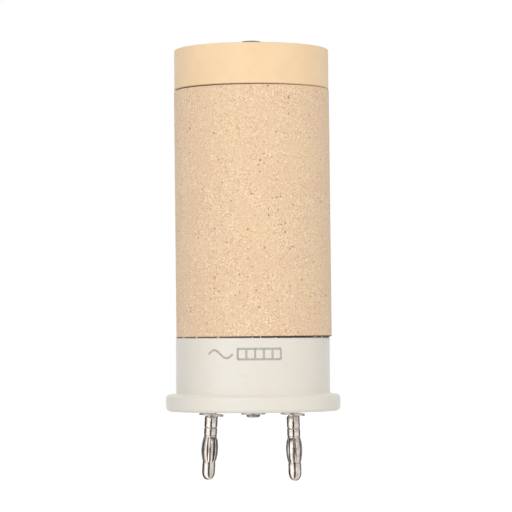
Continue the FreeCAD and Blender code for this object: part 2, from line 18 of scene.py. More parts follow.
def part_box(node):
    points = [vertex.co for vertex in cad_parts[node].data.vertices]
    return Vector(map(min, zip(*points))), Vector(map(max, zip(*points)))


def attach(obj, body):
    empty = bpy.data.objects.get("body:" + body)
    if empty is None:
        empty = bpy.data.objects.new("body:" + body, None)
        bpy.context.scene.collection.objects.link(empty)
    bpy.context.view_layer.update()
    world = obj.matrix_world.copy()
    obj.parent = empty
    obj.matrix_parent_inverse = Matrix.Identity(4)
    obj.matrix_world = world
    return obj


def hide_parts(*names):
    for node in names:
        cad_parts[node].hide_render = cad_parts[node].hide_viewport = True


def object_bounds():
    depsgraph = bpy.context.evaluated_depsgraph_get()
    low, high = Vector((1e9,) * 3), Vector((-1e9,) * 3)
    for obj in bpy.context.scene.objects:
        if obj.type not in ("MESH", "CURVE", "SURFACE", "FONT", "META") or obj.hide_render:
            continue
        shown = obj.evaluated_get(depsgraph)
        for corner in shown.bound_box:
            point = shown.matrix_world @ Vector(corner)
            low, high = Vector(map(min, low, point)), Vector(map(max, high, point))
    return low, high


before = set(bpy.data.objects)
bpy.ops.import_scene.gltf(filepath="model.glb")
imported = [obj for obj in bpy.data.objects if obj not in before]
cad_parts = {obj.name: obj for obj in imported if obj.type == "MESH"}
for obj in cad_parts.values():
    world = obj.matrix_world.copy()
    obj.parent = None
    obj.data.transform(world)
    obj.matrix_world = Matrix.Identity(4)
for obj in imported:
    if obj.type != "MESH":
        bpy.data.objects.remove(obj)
cad_low, cad_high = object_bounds()
print("CAD nodes:", len(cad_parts))

# %% [markdown]
# ## Sizes
# Blender counts in metres and this part is measured in millimetres, so one named value turns one into the
# other. Levels that a CAD node can tell are read from its box, and the rest repeats the sizes of the CAD
# part. The origin lies on the axis at the upper face of the flange. The sleeve hangs in its play, so it
# leans by a third of a degree, and its joints are wider at one side than at the other.

# %% Read the sizes of the real pieces
MM = 0.001

cap_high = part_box("outlet_cap")[1]
base_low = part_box("base")[0]
cores_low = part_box("core_segment_1")[0]

BOSS_HEIGHT = 0.4 * MM
UNDERSIDE = base_low.z + BOSS_HEIGHT
CORES_FOOT = cores_low.z
CAP_TOP = cap_high.z
CAP_HEIGHT = 11.5 * MM
CAP_FOOT = CAP_TOP - CAP_HEIGHT
COLLAR_RADIUS = 21.8 * MM
COLLAR_TOP = 15.9 * MM
SLEEVE_RADIUS = 22.0 * MM
SLEEVE_WALL = 2.0 * MM
SLEEVE_PLAY = 0.13 * MM
SLEEVE_LENGTH = 70.0 * MM
SLEEVE_FOOT = COLLAR_TOP + SLEEVE_PLAY
SLEEVE_TOP = SLEEVE_FOOT + SLEEVE_LENGTH
SLEEVE_LEAN = math.radians(0.3)

print("CAD box in mm:", [round(side / MM, 1) for side in cad_high - cad_low])
print("underside at", round(UNDERSIDE / MM, 2), "mm")
for piece_name, foot, top in (("sleeve", SLEEVE_FOOT, SLEEVE_TOP), ("cap", CAP_FOOT, CAP_TOP)):
    print(piece_name, "from", round(foot / MM, 2), "to", round(top / MM, 2), "mm")

# %% [markdown]
# ## A small bench for finishes
# Every finish here is a material made of nodes. Most of them need the same few things: places measured in
# millimetres, a soft cloud of noise, round specks, and a blend of two colours. Each is a short function, so
# that a finish reads as a recipe. Colours are written as they look on screen and turned into the linear
# values that the shader wants.

# %% Helpers for finishes
def paint(red, green, blue):
    """A colour as it looks on screen, from 0 to 255, as the shader's linear values."""
    def linear(channel):
        share = channel / 255
        return share / 12.92 if share <= 0.04045 else ((share + 0.055) / 1.055) ** 2.4
    return (linear(red), linear(green), linear(blue), 1.0)


class Finish:
    """A material in the making: its nodes, and the place on the surface in millimetres."""

    def __init__(self, name, **shader_values):
        self.material = bpy.data.materials.new(name)
        self.material.use_nodes = True
        self.tree = self.material.node_tree
        self.shader = self.tree.nodes["Principled BSDF"]
        # The shader's sockets have names such as Sheen Weight and IOR: here they are sheen_weight and ior.
        for name_here, value in shader_values.items():
            socket_name = name_here.replace("_", " ").title().replace("Ior", "IOR")
            self.shader.inputs[socket_name].default_value = value
        where = self.node("ShaderNodeTexCoord").outputs["Object"]
        in_millimetres = {"Vector": where, "Scale": (1 / MM, 1 / MM, 1 / MM)}
        self.place = self.node("ShaderNodeMapping", in_millimetres).outputs[0]

    def node(self, kind, inputs=None, **settings):
        """Adds a node, sets its options, and fills or links its inputs."""
        made = self.tree.nodes.new(kind)
        for setting, value in settings.items():
            setattr(made, setting, value)
        for socket, value in (inputs or {}).items():
            if isinstance(value, bpy.types.NodeSocket):
                self.tree.links.new(value, made.inputs[socket])
            else:
                made.inputs[socket].default_value = value
        return made

    def maths(self, operation, first, second):
        """Arithmetic on two values, either of which may be a number."""
        return self.node("ShaderNodeMath", {0: first, 1: second}, operation=operation).outputs[0]

    def spread(self, value, low, high, to_low=0.0, to_high=1.0):
        """Stretches a value from one range to another and stops at its ends."""
        limits = {"Value": value, "From Min": low, "From Max": high, "To Min": to_low, "To Max": to_high}
        return self.node("ShaderNodeMapRange", limits).outputs[0]

    def cloud(self, size, detail=3.0, stretch=(1.0, 1.0, 1.0)):
        """Soft noise whose patches measure about the given millimetres."""
        place = self.node("ShaderNodeMapping", {"Vector": self.place, "Scale": stretch}).outputs[0]
        noise_inputs = {"Vector": place, "Scale": 1 / size, "Detail": detail}
        return self.node("ShaderNodeTexNoise", noise_inputs).outputs[0]

    def specks(self, spacing, radius, share):
        """Round specks: a share of the cells of a foam holds one, of random size up to the radius."""
        foam = self.node("ShaderNodeTexVoronoi", {"Vector": self.place, "Scale": 1 / spacing})
        chance = self.node("ShaderNodeSeparateColor", {0: foam.outputs["Color"]}).outputs[0]
        reach = self.spread(chance, 1 - share, 1.0, 0.0, radius / spacing)
        inside = self.maths("SUBTRACT", reach, foam.outputs["Distance"])
        soft_edge = 0.25 * radius / spacing
        return self.spread(inside, 0.0, soft_edge)

    def blend(self, amount, first, second):
        """The second colour over the first by an amount from 0 to 1."""
        # A Mix node that mixes colours takes them at its sockets 6 and 7 and gives the result at 2.
        mix = self.node("ShaderNodeMix", {0: amount, 6: first, 7: second}, data_type="RGBA")
        return mix.outputs[2]

    def tinted(self, body, where, strength, tint):
        """The body's colour with a tint over it, where a value says, at a strength from 0 to 1."""
        return self.blend(self.maths("MULTIPLY", where, strength), body, tint)

    def height(self, lean=0.0):
        """How high up the part a point lies, in millimetres, measured along an axis that may lean."""
        leaned = {"Vector": self.place, "Rotation": (0.0, lean, 0.0)}
        place = self.node("ShaderNodeMapping", leaned).outputs[0]
        return self.node("ShaderNodeSeparateXYZ", {0: place}).outputs[2]

    def rightness(self):
        """How far to the right a point lies, in millimetres."""
        return self.node("ShaderNodeSeparateXYZ", {0: self.place}).outputs[0]

    def colour(self, value):
        """Gives the surface its colour."""
        self.tree.links.new(value, self.shader.inputs["Base Color"])

    def roughness(self, value):
        """Gives the surface its roughness: 0 is a mirror and 1 is chalk."""
        self.tree.links.new(value, self.shader.inputs["Roughness"])

    def relief(self, value, depth):
        """Bump: the value, from 0 to 1, raises the surface by up to a depth in millimetres."""
        earlier = self.shader.inputs["Normal"].links
        inputs = {"Height": value, "Distance": depth * MM}
        if earlier:
            inputs["Normal"] = earlier[0].from_socket
        bump = self.node("ShaderNodeBump", inputs)
        self.tree.links.new(bump.outputs[0], self.shader.inputs["Normal"])


print("finish bench ready")

# %% [markdown]
# ## The grainy sleeve
# The sleeve is a coarse insulating ceramic: sand-coloured, blotched with a pinker tone, and full of grains,
# some darker and some nearly white, with small pits between them. Clouds of different sizes give the
# blotches, the mottling and the grain, which is coarser in some patches than in others, and three layers of
# specks lie over them. The colours are then laid over one another in a loop, each at its own strength.

# %% Sleeve finish
sleeve_finish = Finish(
    "grainy_sleeve_ceramic", roughness=0.9, ior=1.45, sheen_weight=0.2, sheen_roughness=0.6
)
blotches = sleeve_finish.spread(sleeve_finish.cloud(size=9.0, detail=2.0), 0.38, 0.62)
mottling = sleeve_finish.spread(sleeve_finish.cloud(size=1.1, detail=4.0), 0.35, 0.65)
grain = sleeve_finish.cloud(size=0.42, detail=5.0)
coarser = sleeve_finish.spread(sleeve_finish.cloud(size=5.0, detail=3.0), 0.38, 0.6, to_low=0.45)
light_grain = sleeve_finish.spread(grain, 0.5, 0.62, to_high=0.85)
deep_grain = sleeve_finish.spread(grain, 0.48, 0.36, to_high=0.62)
brown_grains = sleeve_finish.specks(spacing=1.15, radius=0.33, share=0.36)
dark_grains = sleeve_finish.specks(spacing=1.8, radius=0.27, share=0.24)
pale_grains = sleeve_finish.specks(spacing=1.0, radius=0.42, share=0.45)

sand = sleeve_finish.blend(blotches, paint(238, 207, 170), paint(236, 202, 168))
for layer, strength, tone in (
    (mottling, 0.36, paint(222, 188, 150)),
    (light_grain, coarser, paint(253, 226, 188)),
    (deep_grain, coarser, paint(196, 157, 118)),
    (brown_grains, 0.8, paint(160, 116, 80)),
    (dark_grains, 0.85, paint(104, 72, 50)),
    (pale_grains, 0.75, paint(255, 238, 210)),
):
    sand = sleeve_finish.tinted(sand, layer, strength, tone)

sleeve_finish.relief(grain, depth=0.16)
sleeve_finish.relief(sleeve_finish.maths("SUBTRACT", pale_grains, brown_grains), depth=0.07)
print("mixed the sand of", sleeve_finish.material.name)

# %% [markdown]
# The edges in both joints are painted dark brown: at the foot as painted shade of the gap, a little lighter
# at the left, and at the top as painted shade of the narrow gap with some dirt.
# Two heights along the sleeve's own leaning axis say where each dark edge begins and where it is full. They
# are counted in millimetres from the sleeve's foot and from its top.

# %% Dark edges of the sleeve
# Painted shade of the gap at the sleeve's foot: its colour and the heights where it begins and is full.
PAINTED_FOOT_SHADE = paint(66, 38, 28)
FOOT_SHADE_BEGINS = 0.42
FOOT_SHADE_FULL = 0.28
# Painted shade of the narrow gap, with some dirt, at the sleeve's top: its colour and the depths where it
# begins and is full.
GAP_SHADE_AND_DIRT = paint(132, 90, 48)
TOP_SHADE_BEGINS = 0.16
TOP_SHADE_FULL = 0.04
SHADE_AND_DIRT_STRENGTH = 0.8

foot_level = SLEEVE_FOOT / MM
top_level = SLEEVE_TOP / MM
sleeve_height = sleeve_finish.height(SLEEVE_LEAN)
# Painted shade in the gap at the foot, a little lighter at the left.
foot_shade_mask = sleeve_finish.spread(sleeve_height, foot_level + FOOT_SHADE_BEGINS, foot_level + FOOT_SHADE_FULL)
to_the_right = sleeve_finish.spread(sleeve_finish.rightness(), -8.0, 4.0, to_low=0.85)
sand = sleeve_finish.tinted(sand, foot_shade_mask, to_the_right, PAINTED_FOOT_SHADE)
# Painted shade of the narrow gap, with some dirt, along the sleeve's top edge.
top_shade_and_dirt_mask = sleeve_finish.spread(sleeve_height, top_level - TOP_SHADE_BEGINS, top_level - TOP_SHADE_FULL)
sleeve_finish.colour(sleeve_finish.tinted(sand, top_shade_and_dirt_mask, SHADE_AND_DIRT_STRENGTH, GAP_SHADE_AND_DIRT))
print("dark edges from", FOOT_SHADE_BEGINS, "mm above the foot and", TOP_SHADE_BEGINS, "mm below the top")

# %% [markdown]
# ## The cap and the cores
# The cap is pressed from a finer body than the sleeve: a warm, even colour, faint clouds and only a few
# tiny specks. The cores inside are the same stuff, a shade greyer from heat, so both come from one
# function. The cap's edge in the joint gets the same painted shade of the narrow gap, with some dirt, as
# the sleeve's top.

# %% Cap and core finishes
def pressed_ceramic(name, light, deep, speck_colour, speck_share):
    """Fine ceramic: two close tones in clouds, powdery grain, and few specks."""
    finish = Finish(name, roughness=0.72, ior=1.45, sheen_weight=0.3, sheen_roughness=0.6)
    tone = finish.spread(finish.cloud(size=7.0, detail=3.0), 0.35, 0.65)
    powder = finish.cloud(size=0.22, detail=2.0)
    light_powder = finish.spread(powder, 0.5, 0.75)
    specks = finish.specks(spacing=2.6, radius=0.4, share=speck_share)
    body = finish.blend(tone, light, deep)
    body = finish.tinted(body, light_powder, 0.25, paint(255, 240, 214))
    body = finish.tinted(body, specks, 0.6, speck_colour)
    finish.relief(powder, depth=0.035)
    return finish, body


# Painted shade of the narrow gap, with some dirt, at the cap's foot: the heights where it begins and is
# full.
CAP_SHADE_BEGINS = 0.14
CAP_SHADE_FULL = 0.02

cap_finish, cap_body = pressed_ceramic(
    "smooth_cap_ceramic", paint(247, 214, 169), paint(243, 208, 162), paint(196, 146, 104), 0.6
)
cap_level = CAP_FOOT / MM
cap_height = cap_finish.height()
# Painted shade of the narrow gap, with some dirt, along the cap's foot.
cap_shade_and_dirt_mask = cap_finish.spread(cap_height, cap_level + CAP_SHADE_BEGINS, cap_level + CAP_SHADE_FULL)
cap_finish.colour(cap_finish.tinted(cap_body, cap_shade_and_dirt_mask, SHADE_AND_DIRT_STRENGTH, GAP_SHADE_AND_DIRT))

core_finish, core_body = pressed_ceramic(
    "honeycomb_core_ceramic", paint(232, 208, 176), paint(214, 188, 154), paint(150, 118, 92), 0.4
)
core_finish.colour(core_body)
print("made", cap_finish.material.name, "and", core_finish.material.name)

# %% [markdown]
# ## The white base
# The base is dense steatite: off-white, with the dull gloss of an unglazed fired surface. Its warmth varies
# a little, and the flange's edge has picked up a few faint grey rubs, which lie along the edge as rubs do.
# A painted highlight makes the chamfer at the collar's top bright, and painted shade darkens the flat
# behind it, in the joint. The depths at which they begin and are full are counted from the collar's top, in
# millimetres.

# %% Base finish
ALONG_THE_EDGE = (0.6, 0.6, 2.2)
# Where the painted highlight on the collar's chamfer begins and is full.
HIGHLIGHT_BEGINS = 0.4
HIGHLIGHT_FULL = 0.3
# Where the painted shade in the joint behind the chamfer begins and is full.
JOINT_SHADE_BEGINS = 0.05
JOINT_SHADE_FULL = 0.02

base_finish = Finish("white_steatite", roughness=0.5, ior=1.5, sheen_weight=0.48, sheen_roughness=0.5)
warmth = base_finish.spread(base_finish.cloud(size=11.0, detail=2.0), 0.35, 0.65)
rubs = base_finish.spread(base_finish.cloud(size=3.2, detail=4.0, stretch=ALONG_THE_EDGE), 0.6, 0.78)
pinholes = base_finish.specks(spacing=3.0, radius=0.22, share=0.16)
base_height = base_finish.height()
collar_level = COLLAR_TOP / MM
# Painted highlight: the chamfer at the collar's top is made brighter.
painted_chamfer_highlight = base_finish.spread(base_height, collar_level - HIGHLIGHT_BEGINS, collar_level - HIGHLIGHT_FULL)
# Painted shade: the flat behind the chamfer, in the joint, is made dark.
painted_joint_shade = base_finish.spread(base_height, collar_level - JOINT_SHADE_BEGINS, collar_level - JOINT_SHADE_FULL)

steatite = base_finish.blend(warmth, paint(231, 226, 215), paint(231, 224, 211))
for layer, strength, tone in (
    (rubs, 0.1, paint(186, 178, 166)),
    (pinholes, 0.5, paint(170, 158, 140)),
    # Painted highlight on the chamfer, then painted shade in the joint.
    (painted_chamfer_highlight, 0.8, paint(255, 254, 250)),
    (painted_joint_shade, 0.9, paint(76, 48, 38)),
):
    steatite = base_finish.tinted(steatite, layer, strength, tone)
base_finish.colour(steatite)
base_finish.roughness(base_finish.spread(base_finish.cloud(size=2.0, detail=3.0), 0.3, 0.7, 0.44, 0.6))
base_finish.relief(base_finish.cloud(size=0.5, detail=2.0), depth=0.015)
print("made", base_finish.material.name)

# %% [markdown]
# ## Metals
# The pins and their cages are nickel plated and nearly mirrors, yet turned and drawn metal is never quite
# even, so a fine stretched cloud varies the gloss and tilts the surface a little. The washers underneath
# are pale zinc plate, and the inner nuts and the rod are duller steel. The wire has the dark grey skin that
# a first heating leaves on it, and the nut on the cap, which stands in the hot air, is stained violet grey.
# One recipe makes all of them, and a table gives each metal its colours, gloss and marks.

# %% Metal finishes
def plated_metal(name, bright, dull, gloss, unevenness, stretch):
    """Metal in two close tones, with gloss between two values and shallow marks along one direction."""
    finish = Finish(name, metallic=1.0)
    tone = finish.spread(finish.cloud(size=1.6, detail=3.0), 0.35, 0.65)
    marks = finish.cloud(size=0.5, detail=3.0, stretch=stretch)
    finish.colour(finish.blend(tone, bright, dull))
    finish.roughness(finish.spread(marks, 0.35, 0.7, gloss[0], gloss[1]))
    finish.relief(marks, unevenness)
    return finish


LENGTHWISE = (1.0, 1.0, 0.25)
CROSSWISE = (0.35, 0.35, 3.0)
EVEN = (1.0, 1.0, 1.0)
metals = {}
for name, bright, dull, gloss, unevenness, stretch in (
    ("bright_nickel", paint(208, 200, 193), paint(180, 171, 164), (0.06, 0.16), 0.012, LENGTHWISE),
    ("drawn_nickel_sheet", paint(204, 196, 189), paint(170, 161, 154), (0.09, 0.22), 0.015, LENGTHWISE),
    ("plated_steel", paint(180, 176, 170), paint(150, 145, 138), (0.28, 0.46), 0.02, EVEN),
    ("pale_zinc_plate", paint(208, 203, 198), paint(184, 179, 174), (0.36, 0.54), 0.02, EVEN),
    ("turned_steel", paint(166, 162, 156), paint(140, 135, 129), (0.28, 0.5), 0.02, CROSSWISE),
    ("heated_resistance_wire", paint(118, 110, 102), paint(86, 80, 76), (0.4, 0.62), 0.02, EVEN),
    ("heat_stained_steel", paint(140, 133, 138), paint(108, 102, 108), (0.35, 0.55), 0.02, EVEN),
):
    metals[name] = plated_metal(name, bright, dull, gloss, unevenness, stretch)
print("made", len(metals), "metals")

# %% [markdown]
# ## Put the finishes on the CAD nodes
# A node whose shape is right keeps its mesh and only changes its material. The nodes' names say what they
# are, so one table from the start of a name to a finish covers all of them.

# %% Dress the CAD nodes
finishes_by_start = {
    "base": base_finish,
    "outlet_cap": cap_finish,
    "core_segment": core_finish,
    "tie_rod_nut": metals["heat_stained_steel"],
    "tie_rod_washer": metals["pale_zinc_plate"],
    "pin_washer": metals["pale_zinc_plate"],
    "lock_washer": metals["plated_steel"],
    "pin_nut": metals["plated_steel"],
    "terminal": metals["drawn_nickel_sheet"],
}
dressed = []
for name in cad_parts:
    for start, finish in finishes_by_start.items():
        if name.startswith(start):
            dressed.append(name)
            for material_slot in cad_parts[name].material_slots:
                material_slot.material = finish.material
print("dressed", len(dressed), "CAD nodes")

# %% [markdown]
# ## Shaping helpers
# Most pieces here are round, so one helper turns an outline about the axis, as a lathe does. Another eases
# corners, because no real edge is perfectly sharp: it replaces each corner by a short curve. Bars and wires
# are tubes through rings of points. The last helper makes the finished object, marks its sharp edges and
# lets it ride on the element's one rigid body.

# %% Helpers for shapes
BODY = "root"
SAME_POINT = 1e-7
NO_LENGTH = 1e-8
LONGEST_EASING = 0.45


def around(radius, turn, height):
    """The point at a radius from the axis, at a turn in radians and at a height."""
    return Vector((radius * math.cos(turn), radius * math.sin(turn), height))


def eased(corners, easing, steps=4, closed=True):
    """The same run of points with each corner replaced by a short curve."""
    points = [Vector(corner) for corner in corners]
    count = len(points)
    run = []
    for index, corner in enumerate(points):
        if not closed and index in (0, count - 1):
            run.append(corner)
            continue
        before = points[index - 1] - corner
        after = points[(index + 1) % count] - corner
        start = corner + before * min(easing / before.length, LONGEST_EASING)
        end = corner + after * min(easing / after.length, LONGEST_EASING)
        for step in range(steps + 1):
            share = step / steps
            run.append(start * (1 - share) ** 2 + corner * 2 * share * (1 - share) + end * share ** 2)
    return run


def turned(outline, segments):
    """A closed outline of points, whose x is a radius and whose y is a height, turned about the axis."""
    mesh = bmesh.new()
    rings = []
    for step in range(segments):
        turn = 2 * math.pi * step / segments
        rings.append([mesh.verts.new(around(point[0], turn, point[1])) for point in outline])
    count = len(outline)
    for step in range(segments):
        ring, following = rings[step], rings[(step + 1) % segments]
        for index in range(count):
            after = (index + 1) % count
            mesh.faces.new((ring[index], following[index], following[after], ring[after]))
    bmesh.ops.remove_doubles(mesh, verts=mesh.verts, dist=SAME_POINT)
    bmesh.ops.dissolve_degenerate(mesh, edges=mesh.edges, dist=NO_LENGTH)
    return mesh


def tube(rings):
    """A closed tube through rings of points: walls between neighbours and a face at either end."""
    mesh = bmesh.new()
    made = [[mesh.verts.new(point) for point in ring] for ring in rings]
    for ring, following in zip(made, made[1:]):
        for step in range(len(ring)):
            after = (step + 1) % len(ring)
            mesh.faces.new((ring[step], ring[after], following[after], following[step]))
    mesh.faces.new(made[0][::-1])
    mesh.faces.new(made[-1])
    return mesh


def mesh_data(name, mesh):
    """The mesh that an object can show, made from a bmesh, which is then let go."""
    data = bpy.data.meshes.new(name)
    mesh.to_mesh(data)
    mesh.free()
    return data


def shown(name, data):
    """A new object in the scene that shows a mesh, a lamp or a camera."""
    made = bpy.data.objects.new(name, data)
    bpy.context.collection.objects.link(made)
    return made


def finished_piece(name, mesh, finish, replaces=(), placed=None, crease=35.0):
    """Makes a bmesh a piece of the element: smooth between its sharp edges, dressed and riding."""
    if placed is not None:
        mesh.transform(placed)
    bmesh.ops.recalc_face_normals(mesh, faces=mesh.faces)
    limit = math.radians(crease)
    for face in mesh.faces:
        face.smooth = True
    for edge in mesh.edges:
        edge.smooth = not edge.is_manifold or edge.calc_face_angle(0.0) < limit
    data = mesh_data(name, mesh)
    data.materials.append(finish.material)
    piece = shown(name, data)
    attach(piece, BODY)
    if replaces:
        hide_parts(*replaces)
    print(name, "has", len(data.polygons), "faces")
    return piece


print("shaping helpers ready")

# %% [markdown]
# ## The sleeve
# The tube is turned from an outline with many points along its wall, so that its skin can be pushed in and
# out like the coarse ceramic it is. Round its foot runs a small rebate, which, with the painted shade at
# the foot, makes the dark line above the collar and leaves a lip inside.

# %% Turn the sleeve's tube
SLEEVE_SEGMENTS = 300
SLEEVE_ROWS = 110
SLEEVE_EASING = 0.2 * MM
REBATE_DEPTH = 0.5 * MM
REBATE_TOP = SLEEVE_FOOT + 0.2 * MM

bore_radius = SLEEVE_RADIUS - SLEEVE_WALL
lip_radius = SLEEVE_RADIUS - REBATE_DEPTH
sleeve_corners = [
    (bore_radius, SLEEVE_FOOT, 0),
    (lip_radius, SLEEVE_FOOT, 0),
    (lip_radius, REBATE_TOP, 0),
    (SLEEVE_RADIUS, REBATE_TOP, 0),
    (SLEEVE_RADIUS, SLEEVE_TOP, 0),
    (bore_radius, SLEEVE_TOP, 0),
]
eased_corners = eased(sleeve_corners, SLEEVE_EASING)
sleeve_outline = []
for here, following in zip(eased_corners, eased_corners[1:] + eased_corners[:1]):
    sleeve_outline.append(here)
    is_outer_wall = (following - here).length > SLEEVE_LENGTH / 2 and here.x > lip_radius
    if is_outer_wall:
        for row in range(1, SLEEVE_ROWS):
            sleeve_outline.append(here.lerp(following, row / SLEEVE_ROWS))
sleeve_mesh = turned(sleeve_outline, SLEEVE_SEGMENTS)
print("the sleeve's tube has", len(sleeve_mesh.verts), "points")

# %% [markdown]
# The skin is pushed in and out by a few hundredths of a millimetre. The two rims are broken more, because
# grains are missing from the edges: where a second noise is high, a rim point moves inwards and away from
# the edge, and at the foot it hangs a little lower where the noise is low. Each noise is the sum of three
# layers, every one twice as fine as the one before and fainter.

# %% Roughen the skin and chip the rims
SKIN_DEPTH = 0.035 * MM
LUMP_SIZE = 1.1 * MM
LUMP_FADING = 0.7
HIGHEST_LUMP = 0.6
CHIP_DEPTH = 0.16 * MM
CHIP_SIZE = 0.8 * MM
CHIP_FADING = 0.5
LOWEST_CHIP = -1.1
HIGHEST_CHIP = 1.0
FOOT_CHIPS_INWARDS = 0.6
TOP_CHIPS_INWARDS = 0.8
TOP_CHIPS_DOWN = 0.5
ELSEWHERE = Vector((31, 7, 0))
NOISE_LAYERS = 3
FINER_BY = 2.0
FOOT_RIM_HEIGHT = 0.5 * MM
TOP_RIM_HEIGHT = 0.3 * MM
OUTSIDE_RADIUS = lip_radius + 0.1 * MM

for vertex in sleeve_mesh.verts:
    outward = Vector((vertex.co.x, vertex.co.y, 0)).normalized()
    from_foot = vertex.co.z - SLEEVE_FOOT
    from_top = SLEEVE_TOP - vertex.co.z
    is_outside = outward.dot(vertex.co) > OUTSIDE_RADIUS
    lumps = noise.fractal(vertex.co / LUMP_SIZE, LUMP_FADING, FINER_BY, NOISE_LAYERS)
    chips = noise.fractal(vertex.co / CHIP_SIZE + ELSEWHERE, CHIP_FADING, FINER_BY, NOISE_LAYERS)
    missing = max(0.0, chips)
    if is_outside:
        vertex.co += outward * min(lumps, HIGHEST_LUMP) * SKIN_DEPTH
    if is_outside and from_foot < FOOT_RIM_HEIGHT:
        vertex.co.z += max(LOWEST_CHIP, min(chips, HIGHEST_CHIP)) * CHIP_DEPTH
        vertex.co -= outward * missing * CHIP_DEPTH * FOOT_CHIPS_INWARDS
    if is_outside and from_top < TOP_RIM_HEIGHT:
        vertex.co -= outward * missing * CHIP_DEPTH * TOP_CHIPS_INWARDS
        vertex.co.z -= missing * CHIP_DEPTH * TOP_CHIPS_DOWN
print("skin", SKIN_DEPTH / MM, "mm deep and chips about", CHIP_DEPTH / MM, "mm")

# %% [markdown]
# The tube then leans about the middle of its top rim, as the real one does in its play. The lip inside the
# rebate reaches down to the collar, so that no light comes through the joint: its lowest points are simply
# moved down to the collar, where they carry the painted shade of the foot.

# %% Lean the sleeve and close its joint
# The lip reaches down to the collar and carries the painted shade of the foot.
CLOSED_JOINT_LEVEL = COLLAR_TOP - 0.005 * MM
LIP_REACH = lip_radius + 0.2 * MM
LIP_HEIGHT = SLEEVE_FOOT + 0.25 * MM

to_top = Matrix.Translation((0, 0, SLEEVE_TOP))
sleeve_mesh.transform(to_top @ Matrix.Rotation(-SLEEVE_LEAN, 4, "Y") @ to_top.inverted())
for vertex in sleeve_mesh.verts:
    in_lip = math.hypot(vertex.co.x, vertex.co.y) < LIP_REACH
    if in_lip and vertex.co.z < min(LIP_HEIGHT, REBATE_TOP):
        vertex.co.z = min(vertex.co.z, CLOSED_JOINT_LEVEL)
finished_piece("grainy_sleeve", sleeve_mesh, sleeve_finish, ["outer_sleeve"], crease=60)

# %% [markdown]
# A few crumbs that broke off the sleeve are caught in the joint, where they show as pale dots on the dark
# line. Each is a small ball, stretched a little, laid on the collar at a random place round it and dented
# by noise. Both the places and this kind of noise get a seed, so that the crumbs are the same in each run.

# %% Make the crumbs in the joint
CRUMBS = 18
CRUMB_SEED = 5
CRUMB_SIZES = (0.16, 0.28)
CRUMB_DEPTHS = (0.2, 0.35)
CRUMB_STRETCH = (0.8, 1.3)
CRUMB_FLATNESS = 0.8
CRUMB_RISE = 0.7
CRUMB_DENTS = 0.05 * MM
DENT_SIZE = 0.2 * MM

crumb_finish = Finish("ceramic_crumbs", roughness=0.9, base_color=paint(240, 216, 186))
crumb_tone = crumb_finish.cloud(size=0.3, detail=3.0)
crumb_finish.colour(crumb_finish.blend(crumb_tone, paint(250, 232, 208), paint(222, 190, 156)))
chance = random.Random(CRUMB_SEED)
noise.seed_set(CRUMB_SEED)
crumbs = bmesh.new()
for _ in range(CRUMBS):
    turn = chance.uniform(0, 2 * math.pi)
    reach = SLEEVE_RADIUS - chance.uniform(*CRUMB_DEPTHS) * MM
    size = chance.uniform(*CRUMB_SIZES) * MM
    place = Matrix.Translation(around(reach, turn, COLLAR_TOP + CRUMB_RISE * size))
    longer = chance.uniform(*CRUMB_STRETCH)
    wider = chance.uniform(*CRUMB_STRETCH)
    stretch = Matrix.Diagonal((longer, wider, CRUMB_FLATNESS, 1))
    bmesh.ops.create_icosphere(crumbs, subdivisions=2, radius=size, matrix=place @ stretch)
for vertex in crumbs.verts:
    vertex.co += noise.noise_vector(vertex.co / DENT_SIZE) * CRUMB_DENTS
finished_piece("joint_crumbs", crumbs, crumb_finish, crease=60)

# %% [markdown]
# ## Where a pin stands
# Each plug pin floats in its hole in the base: it leans outwards by a few degrees, as the photograph shows,
# and the right one hangs a little lower. A pin and everything on it is made upright about its own axis,
# with zero at the flange's underside, and one matrix then drops it, leans it and moves it to its place. The
# sizes below repeat those of the CAD part.

# %% Pin sizes and places
PIN_SPACING = 23.0 * MM
PIN_FLOAT = -0.28 * MM
PIN_LEANS = {"left": 3.3, "right": -1.6}
PIN_DROPS = {"left": 0.0, "right": 0.4 * MM}
STEM_RADIUS = 1.925 * MM
NECK_RADIUS = 1.58 * MM
TIP_RADIUS = 1.925 * MM
SHANK_RADIUS = 1.5 * MM
PIN_END = -19.5 * MM
CAGE_TOP = -6.8 * MM
CAGE_END = -14.6 * MM


def pin_place(side):
    """Matrix that drops a piece, leans it about the flange's underside and moves it to its pin."""
    across = PIN_FLOAT + PIN_SPACING / 2 * (-1 if side == "left" else 1)
    lean = Matrix.Rotation(math.radians(PIN_LEANS[side]), 4, "Y")
    drop = Matrix.Translation((0, 0, -PIN_DROPS[side]))
    return Matrix.Translation((across, 0, UNDERSIDE)) @ lean @ drop


for side in PIN_LEANS:
    tip = pin_place(side) @ Vector((0, 0, PIN_END))
    print(side, "pin tip at", [round(value / MM, 2) for value in tip], "mm")

# %% [markdown]
# ## Threads
# A thread is one ridge that climbs as it goes round. On a grid of points round and along a bar, the radius
# only has to follow a saw-tooth of the height minus the share of a turn, and the grid becomes a thread. The
# ridge fades out at both ends of its length, as a cut thread does.

# %% Thread helper
THREAD_PITCH = 0.5 * MM
THREAD_DEPTH = 0.27 * MM
THREAD_SEGMENTS = 28
ROWS_PER_PITCH = 8
THREAD_RUN_OUT = 0.6 * THREAD_PITCH


